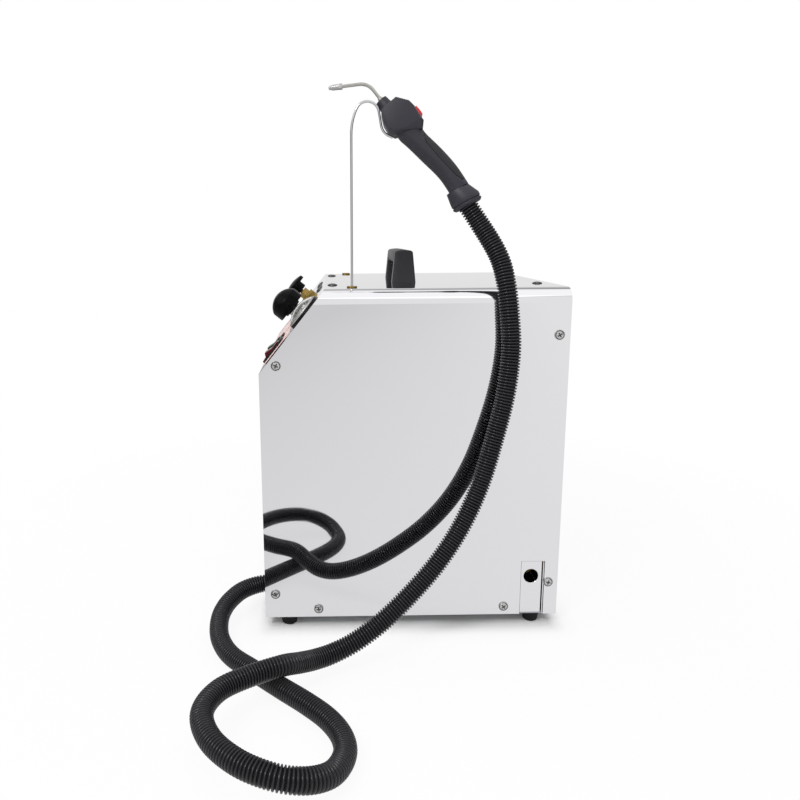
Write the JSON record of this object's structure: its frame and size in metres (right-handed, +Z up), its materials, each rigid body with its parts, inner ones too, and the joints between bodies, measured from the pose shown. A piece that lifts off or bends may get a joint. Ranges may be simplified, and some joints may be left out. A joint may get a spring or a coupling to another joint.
{
  "type": "dry steam cleaner",
  "caption": "Steel-cased dry steam cleaner with a sloped control panel, carry handle, wire hook and a steam gun on a ribbed hose.",
  "frame": {"origin": "floor level under the middle of the machine", "axes": "+X to the side that the gun hangs on, +Y from the sloped control panel to the back, +Z up"},
  "size_m": [0.6621, 0.4065, 0.6075],
  "materials": {
    "stainless_polished": "mirror polished",
    "steel_sheet": "plain",
    "boiler_steel": "plain",
    "zinc_screw": "zinc plated",
    "foot_rubber": "matte",
    "handle_plastic": "satin",
    "overlay_film": "satin",
    "black_plastic": "satin",
    "bezel_chrome": "polished",
    "window_glass": "clear",
    "dial_paint": "matte",
    "knob_gloss": "gloss",
    "brass": "machined",
    "red_gloss": "gloss",
    "green_gloss": "gloss",
    "wire_steel": "polished",
    "gun_plastic": "fine texture",
    "gun_soft": "matte",
    "nozzle_chrome": "polished",
    "hose_plastic": "satin",
    "terminal_plastic": "plain"
  },
  "bodies": {
    "machine": {"cover": "stainless_polished", "front_panel": "stainless_polished", "back_panel": "stainless_polished", "base_tray": "steel_sheet", "drain_plate": "stainless_polished", "foot_fn": "foot_rubber", "foot_ff": "foot_rubber", "foot_rn": "foot_rubber", "foot_rf": "foot_rubber", "side_screws": "zinc_screw", "top_screws": "zinc_screw", "slope_screws": "zinc_screw", "carry_handle": "handle_plastic", "handle_screws": "zinc_screw", "overlay": "overlay_film", "gauge_case": "black_plastic", "gauge_bezel": "bezel_chrome", "gauge_window": "window_glass", "gauge_dial": "dial_paint", "filler_neck": "brass", "steam_valve": "brass", "red_housing": "black_plastic", "green_housing": "black_plastic", "bush_near": "brass", "bush_far": "brass", "wire_hook": "wire_steel", "hose": "hose_plastic", "hose_grommet": "foot_rubber", "hose_fitting": "brass", "solenoid_valve": "brass", "boiler": "boiler_steel", "boiler_saddles": "steel_sheet", "heater": "boiler_steel", "safety_valve": "brass", "pressure_switch": "brass", "filler_pipe": "brass", "steam_pipe": "brass", "outlet_pipe": "brass", "drain_valve": "brass", "drain_pipe": "brass", "terminal_block": "terminal_plastic", "power_inlet": "black_plastic", "inlet_screws": "zinc_screw"},
    "needle": {"gauge_needle": "dial_paint"},
    "cap": {"filler_cap": "knob_gloss"},
    "knob": {"steam_knob": "knob_gloss"},
    "red_switch": {"red_rocker": "red_gloss"},
    "green_switch": {"green_rocker": "green_gloss"},
    "gun": {"gun_shell_near": "gun_plastic", "gun_shell_far": "gun_plastic", "gun_inlay": "gun_soft", "gun_collar": "gun_plastic", "gun_screws": "zinc_screw", "gun_switch": "black_plastic", "nozzle_socket": "gun_plastic", "nozzle_tube": "nozzle_chrome", "nozzle_tip": "nozzle_chrome"},
    "button": {"thumb_button": "red_gloss"}
  },
  "joints": [
    {"name": "needle_swing", "type": "hinge", "parent": "machine", "child": "needle", "pos_m": [0.115, -0.12144, 0.36153], "axis": [0, 0.78, -0.6257], "range_deg": [0, 270], "stiffness_Nm_per_rad": 0.0001, "springref_deg": -11.46},
    {"name": "cap_turn", "type": "hinge", "parent": "machine", "child": "cap", "pos_m": [0.04, -0.14449, 0.36476], "axis": [0, -0.78, 0.6257], "range_deg": [0, 360]},
    {"name": "steam_knob_turn", "type": "hinge", "parent": "machine", "child": "knob", "pos_m": [-0.06, -0.13429, 0.37748], "axis": [0, -0.78, 0.6257], "range_deg": [0, 270]},
    {"name": "red_rocker_tilt", "type": "hinge", "parent": "machine", "child": "red_switch", "pos_m": [0.112, -0.15522, 0.31543], "axis": [1, 0, 0], "range_deg": [0, 18]},
    {"name": "green_rocker_tilt", "type": "hinge", "parent": "machine", "child": "green_switch", "pos_m": [0.072, -0.15522, 0.31543], "axis": [1, 0, 0], "range_deg": [0, 18]},
    {"name": "gun_lift", "type": "slide", "parent": "machine", "child": "gun", "axis": [0, 0, 1], "range_m": [0, 0.08]},
    {"name": "thumb_press", "type": "slide", "parent": "gun", "child": "button", "axis": [0, -0.7804, -0.6252], "range_m": [0, 0.002], "stiffness_N_per_m": 400, "springref_m": -0.002}
  ]
}
